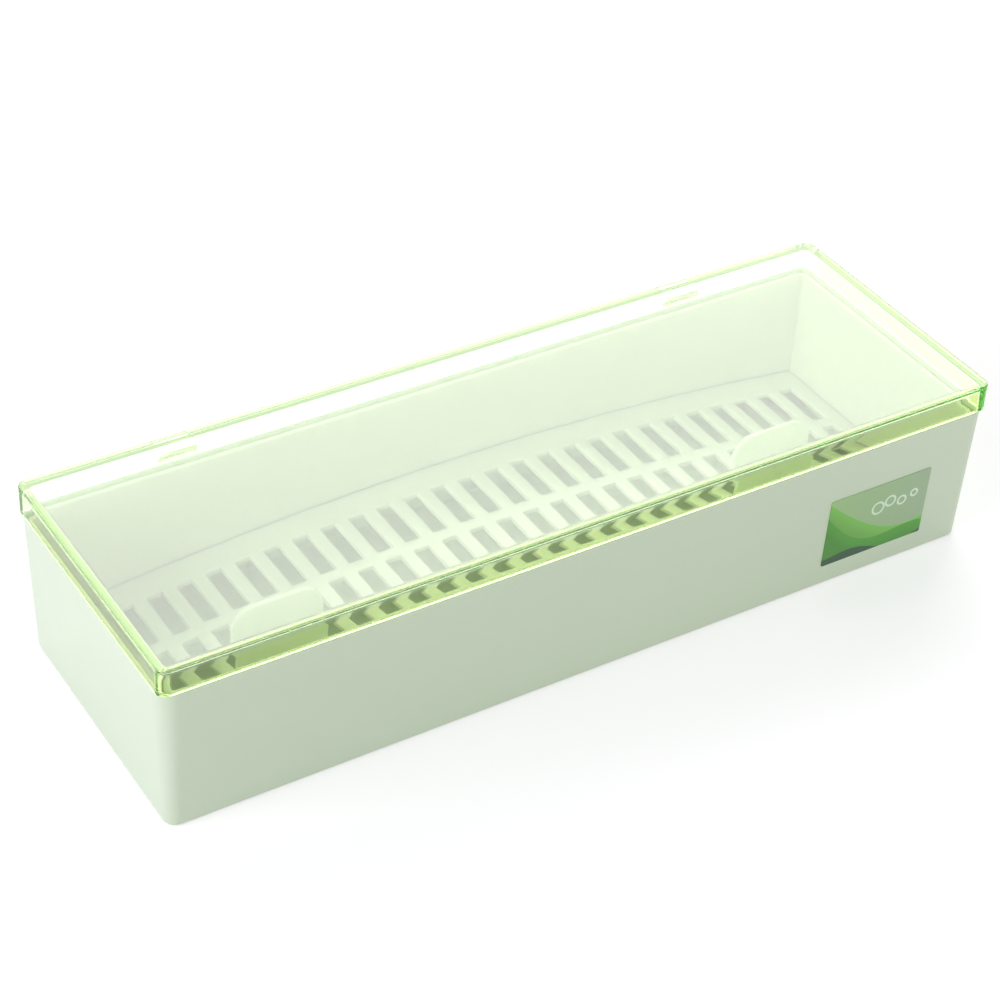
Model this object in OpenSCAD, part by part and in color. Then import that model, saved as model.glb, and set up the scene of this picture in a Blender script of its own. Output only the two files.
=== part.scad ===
// Chopstick box with a clear flip lid and a lift-out drain basket.
// Millimetres. The origin is the middle of the underside, X runs along the length,
// the front is at -Y, and the hinge is at the rear.

/* [Box] */
// Length of the lid, which is flush with the box below it
lid_l = 288; // [270:1:300]
// Width of the lid, front to back
lid_w = 96; // [92:1:104]
// Height of the box from the table to its rim
rim_h = 50.2; // [48:0.1:56]
// How far each outer wall leans in from the rim to the table
draft = 1.45; // [1:0.05:1.8]
// Thickness of the box walls and floor
box_wall = 2.6; // [2.2:0.1:3]
// Radius of the upright corners at the rim
box_corner_r = 5.5; // [5:0.1:7]
// Radius of the edge round the underside
base_edge_r = 1.2; // [0.8:0.1:1.6]
// Depth of the recessed panels in the underside
base_recess = 0.7; // [0.4:0.1:1]

/* [Lid] */
// Height of the lid from its lower edge to its top
lid_h = 9.5; // [9:0.1:12]
// Gap between the rim of the box and the lower edge of the lid
seam_gap = 0.3; // [0.3:0.05:0.5]
// Thickness of the lid's top plate
plate_t = 2.5; // [2:0.1:3]
// Thickness of the lid's skirt at its lower edge
skirt_t = 2.8; // [2.4:0.1:3.2]
// Radius of the lid's upright corners
lid_corner_r = 3.2; // [3:0.1:4]
// Radius of the edge round the lid's top
lid_edge_r = 1.8; // [1.2:0.1:2.2]
// Radius of the inner corner between plate and skirt
lid_fillet_r = 4.6; // [3:0.1:5]

/* [Basket] */
// Height of the basket's rim above the table
basket_rim_h = 47; // [46:0.1:49.2]
// Thickness of the basket's walls and floor
basket_t = 1.8; // [1.4:0.1:2]
// Radius of the basket's upright inner corners
basket_corner_r = 1.6; // [1.6:0.1:3]
// Gap all round between basket and box
basket_gap = 0.45; // [0.4:0.05:0.8]
// Height of the drain floor above the table, at its crown
crown_h = 19.8; // [17:0.1:22]
// How much lower the drain floor is at the two ends
arch_drop = 9.2; // [6:0.1:9.5]
// Distance between neighbouring drain slots
slot_pitch = 9.9; // [9:0.1:10]
// Width of one drain slot
slot_w = 5.5; // [4:0.1:6]
// Number of slots in a row, an odd number
slot_count = 27; // [21:2:27]
// Length of the slots in the front and rear rows
slot_long = 19.5; // [16:0.1:20]
// Length of the slots in the middle row
slot_short = 16; // [12:0.1:17]
// Width of the solid bars between the rows
bar_w = 4.5; // [4:0.1:6]

/* [Finger tabs] */
// Width of a finger tab where it leaves the floor
tab_w = 30; // [24:1:34]
// Height of a finger tab above the table
tab_top_h = 36; // [30:0.5:40]
// Thickness of a finger tab
tab_t = 1.6; // [1.4:0.1:2.4]
// Radius of the tab's shoulders
tab_r = 7.5; // [5:0.5:9]
// Which slot the tab stands at, counted from the middle
tab_slot = 9; // [6:1:10]

/* [Hinge] */
// Distance of each hinge from the middle of the box
hinge_x = 92; // [60:1:110]
// Distance of the pin behind the lid's rear face
pin_back = 4.4; // [4.3:0.1:5]
// Distance of the pin below the rim
pin_drop = 10.7; // [10:0.1:13]
// Radius of the hinge pin
pin_r = 1.25; // [1:0.05:1.5]
// Thickness of each lug on the box
lug_t = 3; // [2.5:0.1:4]
// Radius of the round end of a lug
lug_r = 4; // [3.6:0.1:4.4]
// Slope of the gusset below a lug, from the upright
gusset_angle = 40; // [30:1:50]
// Width of the lid's knuckle
knuckle_w = 11.6; // [8:0.1:14]
// Radius of the lid's knuckle
knuckle_r = 3.6; // [3.2:0.1:3.7]

/* [Label] */
// Length of the label on the front
label_l = 39.5; // [30:0.5:50]
// Height of the label
label_h = 26; // [18:0.5:30]
// Distance of the label's middle from the middle of the box
label_x = 104.9; // [90:0.1:106]
// Height of the label's middle above the table
label_z = 21; // [18:0.5:28]
// Thickness of the label
label_t = 0.25; // [0.15:0.05:0.4]

/* [Hidden] */

// Overshoot of a cut past the face it opens
fine = 0.01;
// How far the box stands in from the lid above it
seam_step = 0.1;
box_l = lid_l - 2 * seam_step;
box_w = lid_w - 2 * seam_step;
lean = draft / rim_h;
edge_steps = 4;

lid_z = rim_h + seam_gap;
lid_top = lid_z + lid_h;

// The basket leans in with the box walls
basket_l = box_l - 2 * (box_wall + basket_gap);
basket_w = box_w - 2 * (box_wall + basket_gap);
basket_r = basket_corner_r + basket_t;
basket_inner_l = basket_l - 2 * basket_t;
basket_inner_w = basket_w - 2 * basket_t;
floor_sag = 1.2;
basket_low_z = crown_h - arch_drop - basket_t - floor_sag;

// The drain floor is a slice of a wide drum whose axis runs front to back
arch_half = basket_inner_l / 2;
arch_r = (arch_half * arch_half + arch_drop * arch_drop) / (2 * arch_drop);
drum_z = crown_h - arch_r;
row_y = slot_short / 2 + bar_w + slot_long / 2;
tab_y = -(slot_short + bar_w) / 2;

pin_y = lid_w / 2 + pin_back;
pin_z = rim_h - pin_drop;
pin_hole_r = pin_r + 0.01;
knuckle_hole_r = pin_r + 0.05;
lug_gap = 0.4;
lug_x = knuckle_w / 2 + lug_gap + lug_t / 2;
pin_head_r = 2.1;
pin_head_t = 0.8;

ledge_t = 2.4;
ledge_gap = 0.3;
ledge_w = 60;

// Half the length or width of the box's outside at height z
function half_at(full, z) = full / 2 - (rim_h - z) * lean;

// Points of a quarter circle about (cx, cy), from angle a0 to a1
function arc(cx, cy, r, a0, a1, steps) =
    [for (i = [0:steps]) let (a = a0 + (a1 - a0) * i / steps) [cx + r * cos(a), cy + r * sin(a)]];

// Places its child at the four corners of a rectangle
module at_corners(l, w) {
    for (sx = [-1, 1], sy = [-1, 1])
        translate([sx * l / 2, sy * w / 2, 0]) children();
}

// A round post that leans out as it rises, with a rounded lower edge
module drafted_post(r_top, z0, z1, edge) {
    r_low = r_top - (z1 - z0) * lean;
    rotate_extrude($fn = 48)
        polygon(concat([[0, z0]], arc(r_low - edge, z0 + edge, edge, -90, 0, edge_steps), [[r_top, z1], [0, z1]]));
}

// A round post with a rounded upper edge
module capped_post(r, z0, z1, edge, steps) {
    rotate_extrude($fn = 64)
        polygon(concat([[0, z0], [r, z0]], arc(r - edge, z1 - edge, edge, 0, 90, steps), [[0, z1]]));
}

// A drafted block with rounded upright corners; l, w and r are its sizes at z1
module drafted_block(l, w, r, z0, z1, edge) {
    hull() at_corners(l - 2 * r, w - 2 * r) drafted_post(r, z0, z1, edge);
}

// A block with square sides, rounded upright corners and a rounded upper edge
module capped_block(l, w, r, z0, z1, edge, steps) {
    hull() at_corners(l - 2 * r, w - 2 * r) capped_post(r, z0, z1, edge, steps);
}

// A block centred on X and Y
module bar(l, w, z0, z1) {
    translate([-l / 2, -w / 2, z0]) cube([l, w, z1 - z0]);
}

// A side profile drawn in Y and Z, given a width along X about its middle
module across(w) {
    rotate([90, 0, 90]) translate([0, 0, -w / 2]) linear_extrude(w) children();
}

// A cylinder along X about the hinge axis
module along_pin(r, w, sides) {
    translate([-w / 2, pin_y, pin_z]) rotate([0, 90, 0]) cylinder(h = w, r = r, $fn = sides);
}

// One ear of the box's hinge: a round end on a gusset that runs down the wall
module lug() {
    root_y = half_at(box_w, pin_z) - box_wall / 2;
    tan_y = pin_y + lug_r * cos(gusset_angle);
    tan_z = pin_z - lug_r * sin(gusset_angle);
    foot_z = tan_z - (tan_y - root_y) / tan(gusset_angle);
    along_pin(lug_r, lug_t, 64);
    across(lug_t)
        polygon([[root_y, pin_z + lug_r], [pin_y, pin_z + lug_r], [pin_y, pin_z], [tan_y, tan_z], [root_y, foot_z]]);
}

// Ledges inside the box ends that the basket's end walls rest on
module ledges() {
    top = basket_floor_edge() - ledge_gap;
    for (s = [-1, 1]) {
        outer = half_at(box_l, top) - box_wall / 2;
        inner = half_at(box_l, top) - box_wall - basket_gap - ledge_t;
        translate([s * (outer + inner) / 2, 0, 0]) bar(outer - inner, ledge_w, box_wall / 2, top);
    }
}

// Height of the lower edge of the basket's end walls
function basket_floor_edge() =
    let (x = half_at(basket_l, basket_low_z))
    drum_z + sqrt((arch_r - basket_t) * (arch_r - basket_t) - x * x);

// Four shallow panels that leave a rim and a cross standing under the box
module base_panels() {
    rim = 11;
    rib = 10;
    r = 3;
    l = (lid_l - rib) / 2 - rim;
    w = (lid_w - rib) / 2 - rim;
    for (sx = [-1, 1], sy = [-1, 1])
        translate([sx * (l + rib) / 2, sy * (w + rib) / 2, 0]) {
            bar(l - 2 * r, w, -1, base_recess);
            bar(l, w - 2 * r, -1, base_recess);
            at_corners(l - 2 * r, w - 2 * r) translate([0, 0, -1]) cylinder(h = base_recess + 1, r = r, $fn = 32);
        }
}

module outer_box() {
    floor_edge_r = 1;
    color([0.79, 0.85, 0.76]) difference() {
        union() {
            difference() {
                drafted_block(box_l, box_w, box_corner_r, 0, rim_h, base_edge_r);
                drafted_block(box_l - 2 * box_wall, box_w - 2 * box_wall, box_corner_r - box_wall, box_wall,
                    rim_h + fine, floor_edge_r);
            }
            ledges();
            for (s = [-1, 1], t = [-1, 1]) translate([s * hinge_x + t * lug_x, 0, 0]) lug();
        }
        base_panels();
        for (s = [-1, 1]) translate([s * hinge_x, 0, 0]) along_pin(pin_hole_r, 40, 48);
    }
}

// The drum that shapes the drain floor
module drum(r) {
    translate([0, lid_w, drum_z]) rotate([90, 0, 0]) cylinder(h = 2 * lid_w, r = r, $fn = 720);
}

module slot_row(y, length) {
    last = (slot_count - 1) / 2;
    for (i = [-last:last])
        translate([i * slot_pitch, y, 0]) bar(slot_w, length, 0, crown_h + 2);
}

// Upright tab with round shoulders, for lifting the basket out
module finger_tab() {
    foot = crown_h - arch_drop;
    translate([0, tab_y + tab_t / 2, 0]) rotate([90, 0, 0]) linear_extrude(tab_t) {
        for (s = [-1, 1]) translate([s * (tab_w / 2 - tab_r), tab_top_h - tab_r]) circle(r = tab_r, $fn = 64);
        translate([-tab_w / 2 + tab_r, foot]) square([tab_w - 2 * tab_r, tab_top_h - foot]);
        translate([-tab_w / 2, foot]) square([tab_w, tab_top_h - tab_r - foot]);
    }
}

module drain_basket() {
    rise = (basket_rim_h - rim_h) * lean;
    color([0.92, 0.96, 0.88]) difference() {
        union() {
            difference() {
                drafted_block(basket_l + 2 * rise, basket_w + 2 * rise, basket_r + rise, basket_low_z,
                    basket_rim_h, fine);
                difference() {
                    drafted_block(basket_inner_l, basket_inner_w, basket_corner_r, basket_low_z - 1, rim_h, fine);
                    drum(arch_r);
                }
            }
            for (s = [-1, 1]) translate([s * tab_slot * slot_pitch, 0, 0]) finger_tab();
        }
        drum(arch_r - basket_t);
        slot_row(0, slot_short);
        for (s = [-1, 1]) slot_row(s * row_y, slot_long);
    }
}

// Arm, barrel and heel that carry the lid on one pin; the heel meets the wall when the lid stands open
module knuckle() {
    wall_gap = 0.6;
    arm_t = 2.7;
    arm_front = lid_w / 2 + wall_gap;
    arm_rear = arm_front + arm_t;
    root_y = lid_w / 2 - skirt_t / 2;
    arm_top = lid_z + 6;
    arm_slope = 3.4;
    barrel_dip = 2;
    heel_r = 4.5;
    heel_w = 2.4;
    heel_turn = 10;
    across(knuckle_w) {
        translate([pin_y, pin_z]) circle(r = knuckle_r, $fn = 64);
        translate([pin_y, pin_z]) rotate(heel_turn) translate([0, -heel_r]) square([heel_w, heel_r]);
        polygon([[pin_y, pin_z], [arm_front, pin_z + barrel_dip], [arm_front, lid_z], [root_y, lid_z],
            [root_y, arm_top], [lid_w / 2, arm_top], [arm_rear, arm_top - arm_slope], [arm_rear, pin_z]]);
    }
}

module lid() {
    inner_r = lid_fillet_r + 0.2;
    color([0.72, 0.88, 0.48, 0.45]) difference() {
        union() {
            capped_block(lid_l, lid_w, lid_corner_r, lid_z, lid_top, lid_edge_r, 6);
            for (s = [-1, 1]) translate([s * hinge_x, 0, 0]) knuckle();
        }
        capped_block(lid_l - 2 * skirt_t, lid_w - 2 * skirt_t, inner_r, lid_z - 1, lid_top - plate_t,
            lid_fillet_r, 10);
        for (s = [-1, 1]) translate([s * hinge_x, 0, 0]) along_pin(knuckle_hole_r, 40, 48);
    }
}

// Straight pin with a flat head on the side away from the middle
module hinge_pin(side) {
    reach = lug_x + lug_t / 2;
    color([0.75, 0.76, 0.78]) translate([side * hinge_x, 0, 0]) {
        along_pin(pin_r, 2 * reach, 48);
        translate([side * (reach + pin_head_t / 2), 0, 0]) along_pin(pin_head_r, pin_head_t, 48);
    }
}

module hinge_pin_left() {
    hinge_pin(-1);
}

module hinge_pin_right() {
    hinge_pin(1);
}

// Thin sticker that lies on the leaning front wall
module label() {
    r = 0.5;
    seat_y = half_at(box_w, label_z);
    color([0.45, 0.66, 0.25]) translate([label_x, -seat_y, label_z]) rotate([90 + atan(lean), 0, 0])
        linear_extrude(label_t) {
            square([label_l - 2 * r, label_h], center = true);
            square([label_l, label_h - 2 * r], center = true);
            for (sx = [-1, 1], sy = [-1, 1])
                translate([sx * (label_l / 2 - r), sy * (label_h / 2 - r)]) circle(r = r, $fn = 32);
        }
}

outer_box();
drain_basket();
lid();
hinge_pin_left();
hinge_pin_right();
label();
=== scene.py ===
"""Chopstick box with a clear flip lid: its looks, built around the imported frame.

Lengths in the dataclasses are millimetres and are turned into metres where a mesh is made. X runs along
the box, the front is at -Y, the hinge is at the rear, and the box stands on Z = 0.
"""

from __future__ import annotations

import logging
import math
from dataclasses import dataclass, field
from enum import Enum
from typing import Callable, Iterable, Sequence

import bmesh
import bpy
from mathutils import Matrix, Vector


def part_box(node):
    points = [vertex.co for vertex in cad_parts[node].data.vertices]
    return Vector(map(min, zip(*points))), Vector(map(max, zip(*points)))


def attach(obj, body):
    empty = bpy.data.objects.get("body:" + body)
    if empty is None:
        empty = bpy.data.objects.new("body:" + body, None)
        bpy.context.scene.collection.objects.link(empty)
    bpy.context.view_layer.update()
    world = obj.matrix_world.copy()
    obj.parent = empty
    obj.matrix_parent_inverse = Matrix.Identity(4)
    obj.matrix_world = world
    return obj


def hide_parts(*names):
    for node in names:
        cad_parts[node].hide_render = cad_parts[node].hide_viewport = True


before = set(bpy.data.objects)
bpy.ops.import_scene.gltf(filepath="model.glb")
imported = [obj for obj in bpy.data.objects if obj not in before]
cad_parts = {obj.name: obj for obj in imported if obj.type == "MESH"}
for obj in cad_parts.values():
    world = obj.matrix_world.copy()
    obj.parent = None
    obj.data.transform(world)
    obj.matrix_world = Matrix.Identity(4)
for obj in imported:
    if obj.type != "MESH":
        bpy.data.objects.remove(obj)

MM = 0.001
SMOOTH_ANGLE = math.radians(32)
MERGE = 1e-7
# Width, in millimetres, of the narrow band beside a rounding that keeps the next face flat when shaded
SLIVER = 0.1
# Sides of a pin, and of the bores round it
ROUND_STEPS = 48

Point = tuple[float, float, float]
Colour = tuple[float, float, float, float]

log = logging.getLogger("chopstick_box")


def shade(red: int, green: int, blue: int) -> Colour:
    """Turns a display colour into the linear colour a shader takes.

    Args:
        red: Display value from 0 to 255.
        green: Display value from 0 to 255.
        blue: Display value from 0 to 255.

    Returns:
        The linear colour with an alpha of 1.
    """
    def linear(value: int) -> float:
        """Undoes the display curve of one channel."""
        share = value / 255
        return share / 12.92 if share <= 0.04045 else ((share + 0.055) / 1.055) ** 2.4

    return linear(red), linear(green), linear(blue), 1.0


def scaled(colour: Colour, factor: float) -> Colour:
    """Returns the colour made lighter or darker by a factor."""
    return colour[0] * factor, colour[1] * factor, colour[2] * factor, 1.0


class Body(Enum):
    """The bodies of the frame that pieces ride on."""

    BASE = "base"
    BASKET = "basket"
    LID = "lid"


class Sock:
    """An output socket that can be used in Python expressions."""

    def __init__(self, graph: Graph, socket: bpy.types.NodeSocket) -> None:
        """Keeps the graph that new nodes go into, and the socket."""
        self.graph = graph
        self.socket = socket

    def twin(self, name: str) -> Sock:
        """Returns another output of the same node."""
        return Sock(self.graph, self.socket.node.outputs[name])

    def __add__(self, other: Sock | float) -> Sock:
        """Adds a value."""
        return self.graph.math("ADD", self, other)

    __radd__ = __add__

    def __mul__(self, other: Sock | float) -> Sock:
        """Multiplies by a value."""
        return self.graph.math("MULTIPLY", self, other)

    __rmul__ = __mul__

    def __sub__(self, other: Sock | float) -> Sock:
        """Subtracts a value."""
        return self.graph.math("SUBTRACT", self, other)

    def __rsub__(self, other: float) -> Sock:
        """Subtracts this from a value."""
        return self.graph.math("SUBTRACT", other, self)

    def __truediv__(self, other: Sock | float) -> Sock:
        """Divides by a value."""
        return self.graph.math("DIVIDE", self, other)


class Graph:
    """Builds nodes in one shader or geometry tree."""

    def __init__(self, tree: bpy.types.NodeTree) -> None:
        """Keeps the tree that nodes are made in."""
        self.tree = tree

    def node(
        self,
        kind: str,
        inputs: dict[str | int, object] | None = None,
        out: str | int = 0,
        **settings: object,
    ) -> Sock:
        """Makes one node.

        Args:
            kind: The node's type name.
            inputs: Values or links, by socket name or number.
            out: The output to return, by name or number.
            **settings: Properties of the node, set before its sockets.

        Returns:
            The chosen output.
        """
        made = self.tree.nodes.new(kind)
        for key, value in settings.items():
            setattr(made, key, value)
        for key, value in (inputs or {}).items():
            self.feed(made.inputs[key], value)
        return Sock(self, made.outputs[out]) if made.outputs else Sock(self, None)

    def feed(self, target: bpy.types.NodeSocket, value: object) -> None:
        """Links a socket, or sets its value."""
        if isinstance(value, Sock):
            self.tree.links.new(value.socket, target)
        else:
            target.default_value = value

    def math(self, operation: str, *values: Sock | float) -> Sock:
        """Makes a Math node from up to three values."""
        return self.node("ShaderNodeMath", dict(enumerate(values)), operation=operation)

    def step(self, value: Sock, edge: float, soft: float) -> Sock:
        """Rises smoothly from 0 to 1 as value passes edge.

        Args:
            value: The value that is tested.
            edge: Where the rise has its middle.
            soft: Width of the rise.

        Returns:
            The share from 0 to 1.
        """
        inputs = {0: value, 1: edge - soft / 2, 2: edge + soft / 2, 3: 0.0, 4: 1.0}
        return self.node("ShaderNodeMapRange", inputs, interpolation_type="SMOOTHSTEP")

    def blend(self, factor: Sock | float, first: object, second: object) -> Sock:
        """Mixes two colours by a factor."""
        inputs = {0: factor, 6: first, 7: second}
        return self.node("ShaderNodeMix", inputs, out=2, data_type="RGBA")

    def noise(self, scale: float, detail: float = 2.0, stretch: Point | None = None) -> Sock:
        """Makes noise on Object coordinates.

        Args:
            scale: Waves to the metre.
            detail: Octaves of finer noise.
            stretch: Scale along each axis, for noise that runs one way.

        Returns:
            The noise, from 0 to 1 and about 0.5 on average.
        """
        place = self.place()
        if stretch is not None:
            place = self.node("ShaderNodeMapping", {"Vector": place, "Scale": stretch})
        inputs = {"Vector": place, "Scale": scale, "Detail": detail}
        return self.node("ShaderNodeTexNoise", inputs, out=0)

    def place(self) -> Sock:
        """Returns the Object coordinates."""
        return self.node("ShaderNodeTexCoord", out="Object")


def new_material(name: str) -> tuple[bpy.types.Material, Graph]:
    """Makes an empty node material.

    Args:
        name: The material's name.

    Returns:
        The material and the graph of its nodes.
    """
    material = bpy.data.materials.new(name)
    material.use_nodes = True
    material.node_tree.nodes.clear()
    return material, Graph(material.node_tree)


@dataclass(frozen=True)
class MouldedPlastic:
    """Opaque moulded plastic with a soft sheen and a faint mould texture."""

    name: str
    colour: Colour
    gloss: float = 0.34
    glow: float = 0.12
    grain: float = 0.05
    sink: float = 0.0025

    def material(self) -> bpy.types.Material:
        """Builds the finish."""
        material, graph = new_material(self.name)
        cloudy = graph.noise(14.0, 3.0)
        speck = graph.noise(900.0, 2.0)
        tint = graph.blend(cloudy, scaled(self.colour, 0.972), scaled(self.colour, 1.02))
        tint = graph.blend(graph.step(speck, 0.7, 0.1) * 0.25, tint, scaled(self.colour, 0.93))
        rough = self.gloss + (graph.noise(60.0, 4.0) - 0.5) * 0.12
        relief = graph.noise(1500.0, 2.0) * 0.35 + graph.noise(35.0, 1.0)
        bump = graph.node("ShaderNodeBump", {"Strength": self.grain, "Distance": 0.0004, "Height": relief})
        surface = graph.node("ShaderNodeBsdfPrincipled", {
            "Base Color": tint,
            "Roughness": rough,
            "Normal": bump,
            "IOR": 1.49,
            "Subsurface Weight": self.glow,
            "Subsurface Radius": (1.0, 1.2, 0.8),
            "Subsurface Scale": self.sink,
        })
        graph.node("ShaderNodeOutputMaterial", {"Surface": surface})
        return material


@dataclass(frozen=True)
class ClearPlastic:
    """Clear tinted plastic that is nearly colourless when thin and green when light runs along it.

    Places are in metres. The pale film on the top face starts at a set height; it is partly the lid's own
    haze and partly a painted sheen that stands in for a lamp's reflected veil. The skirt has its tint up to
    skirt_to and in front of rear_from.
    """

    name: str
    tint: Colour
    depth: float
    bend: float = 1.57
    passes: Colour = (0.90, 0.93, 0.90, 1.0)
    # Colour of the top face's pale film: the lid's own haze, plus a painted sheen that stands in for a lamp's
    # reflected veil
    haze_and_sheen: Colour = (0.95, 0.97, 0.93, 1.0)
    haze_and_sheen_share: float = 0.2
    haze_and_sheen_patchiness: float = 0.06
    haze_and_sheen_from: float = 0.0597
    skirt_to: float = 0.0568
    skirt_tint: Colour = (0.94, 1.0, 0.64, 1.0)
    rear_from: float = 0.04

    def material(self) -> bpy.types.Material:
        """Builds the finish. Light from the lamps goes straight through to what is inside."""
        material, graph = new_material(self.name)
        haze = 0.002 + graph.noise(45.0, 3.0) * 0.01
        spot = graph.node("ShaderNodeSeparateXYZ", {0: graph.place()})
        height = spot.twin("Z")
        above = graph.step(height, self.skirt_to, 0.001)
        behind = graph.step(spot.twin("Y"), self.rear_from, 0.01)
        body = graph.blend(graph.math("MAXIMUM", above, behind), self.skirt_tint, (1.0, 1.0, 1.0, 1.0))
        clear = graph.node("ShaderNodeBsdfPrincipled", {
            "Base Color": body,
            "Roughness": haze,
            "IOR": self.bend,
            "Transmission Weight": 1.0,
        })
        passed = graph.node("ShaderNodeBsdfTransparent", {"Color": self.passes})
        path = graph.node("ShaderNodeLightPath", out="Is Shadow Ray")
        lamp = graph.math("MAXIMUM", path, path.twin("Is Diffuse Ray"))
        surface = graph.node("ShaderNodeMixShader", {0: lamp, 1: clear, 2: passed})
        # Painted sheen: a pale diffuse film on the top face, partly the lid's haze and partly a stand-in for
        # a lamp's reflected veil, patchy at random; lamp light and diffuse bounces pass it by
        patchy_haze_and_sheen = graph.noise(6.0, 2.0) * self.haze_and_sheen_patchiness + (self.haze_and_sheen_share - self.haze_and_sheen_patchiness / 2)
        haze_and_sheen_share = graph.step(height, self.haze_and_sheen_from, 0.0004) * patchy_haze_and_sheen * (1.0 - lamp)
        haze_and_sheen = graph.node("ShaderNodeBsdfDiffuse", {"Color": self.haze_and_sheen})
        surface = graph.node("ShaderNodeMixShader", {0: haze_and_sheen_share, 1: surface, 2: haze_and_sheen})
        dye = graph.node("ShaderNodeVolumeAbsorption", {"Color": self.tint, "Density": self.depth})
        graph.node("ShaderNodeOutputMaterial", {"Surface": surface, "Volume": dye})
        return material


@dataclass(frozen=True)
class DrawnSteel:
    """Plain wire with fine lines along it."""

    name: str = "drawn_steel"
    colour: Colour = shade(198, 200, 204)

    def material(self) -> bpy.types.Material:
        """Builds the finish."""
        material, graph = new_material(self.name)
        lines = graph.noise(2200.0, 3.0, (0.02, 1.0, 1.0))
        tint = graph.blend(lines, scaled(self.colour, 0.85), self.colour)
        bump = graph.node("ShaderNodeBump", {"Strength": 0.15, "Distance": 0.0001, "Height": lines})
        surface = graph.node("ShaderNodeBsdfPrincipled", {
            "Base Color": tint,
            "Metallic": 1.0,
            "Roughness": 0.22 + lines * 0.2,
            "Normal": bump,
        })
        graph.node("ShaderNodeOutputMaterial", {"Surface": surface})
        return material


@dataclass(frozen=True)
class Wave:
    """One printed wave, with its sizes as shares of the label's height and its turns in radians."""

    climb: float
    height: float
    swing: float
    turns: float
    start: float
    ink: Colour


@dataclass(frozen=True)
class PrintedSticker:
    """Printed film with waves that climb to the left, a soft sky and a few pale rings."""

    middle: Vector
    size: Vector
    name: str = "printed_sticker"
    sky: Colour = shade(160, 200, 134)
    sky_edge: Colour = shade(160, 188, 148)
    mark: Colour = shade(226, 246, 220)
    waves: tuple[Wave, ...] = (
        Wave(0.62, 0.30, 0.07, 5.2, 0.6, shade(104, 174, 60)),
        Wave(0.55, 0.16, 0.06, 6.0, 2.6, shade(58, 142, 12)),
        Wave(0.12, 0.02, 0.07, 7.4, 5.6, shade(4, 62, 30)),
    )
    rings: int = 4
    ring_at: tuple[float, float] = (0.5, 0.64)
    ring_step: tuple[float, float] = (0.12, 0.05)
    ring_r: float = 0.085
    ring_less: float = 0.012

    def material(self) -> bpy.types.Material:
        """Builds the print on the label's own length and height, each from 0 to 1."""
        material, graph = new_material(self.name)
        along = graph.node("ShaderNodeSeparateXYZ", {0: graph.place()})
        u = (along - (self.middle.x - self.size.x / 2)) / self.size.x
        v = (along.twin("Z") - (self.middle.z - self.size.z / 2)) / self.size.z
        paper = graph.blend(u, self.sky, self.sky_edge)
        climb = graph.math("POWER", 1.0 - u, 3.0)
        for wave in self.waves:
            paper = self.paint_wave(graph, paper, u, v - climb * wave.climb, wave)
        for number in range(self.rings):
            x = self.ring_at[0] + self.ring_step[0] * number
            y = self.ring_at[1] + self.ring_step[1] * (number % 2)
            paper = self.paint_ring(graph, paper, u - x, v - y, self.ring_r - self.ring_less * number)
        fibre = graph.noise(1600.0, 2.0)
        paper = graph.blend(fibre * 0.04, paper, self.mark)
        surface = graph.node("ShaderNodeBsdfPrincipled", {
            "Base Color": paper,
            "Roughness": 0.3 + fibre * 0.1,
            "Coat Weight": 0.25,
            "Coat Roughness": 0.15,
        })
        graph.node("ShaderNodeOutputMaterial", {"Surface": surface})
        return material

    def paint_wave(self, graph: Graph, under: Sock, u: Sock, v: Sock, wave: Wave) -> Sock:
        """Paints everything below a wavy line, lighter towards the line."""
        depth = graph.math("SINE", u * wave.turns + wave.start) * wave.swing + wave.height - v
        ink = graph.blend(graph.step(depth, 0.12, 0.3), scaled(wave.ink, 1.35), wave.ink)
        return graph.blend(graph.step(depth, 0.0, 0.012), under, ink)

    def paint_ring(self, graph: Graph, under: Sock, right: Sock, up: Sock, radius: float) -> Sock:
        """Paints one thin pale ring round the place where right and up are 0."""
        across = right * (self.size.x / self.size.z)
        reach = graph.math("SQRT", across * across + up * up)
        away = graph.math("ABSOLUTE", reach - radius)
        return graph.blend(graph.step(away, 0.014, 0.012), self.mark, under)


@dataclass(frozen=True)
class Station:
    """One level of a loft round the box: how far in it lies, how high, and its corner radius."""

    inset: float
    z: float
    corner: float


def quarter(steps: int) -> Iterable[float]:
    """Yields angles from 0 to 90 degrees, in radians."""
    return (math.radians(90) * i / steps for i in range(steps + 1))


def rounding(radius: float, steps: int) -> list[tuple[float, float]]:
    """Walks round the edge between two faces, from the first face to the second.

    Args:
        radius: Radius of the rounding.
        steps: Number of facets.

    Returns:
        How far each point lies from the first face and from the second.
    """
    return [(radius * (1 - math.cos(a)), radius * (1 - math.sin(a))) for a in quarter(steps)]


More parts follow.
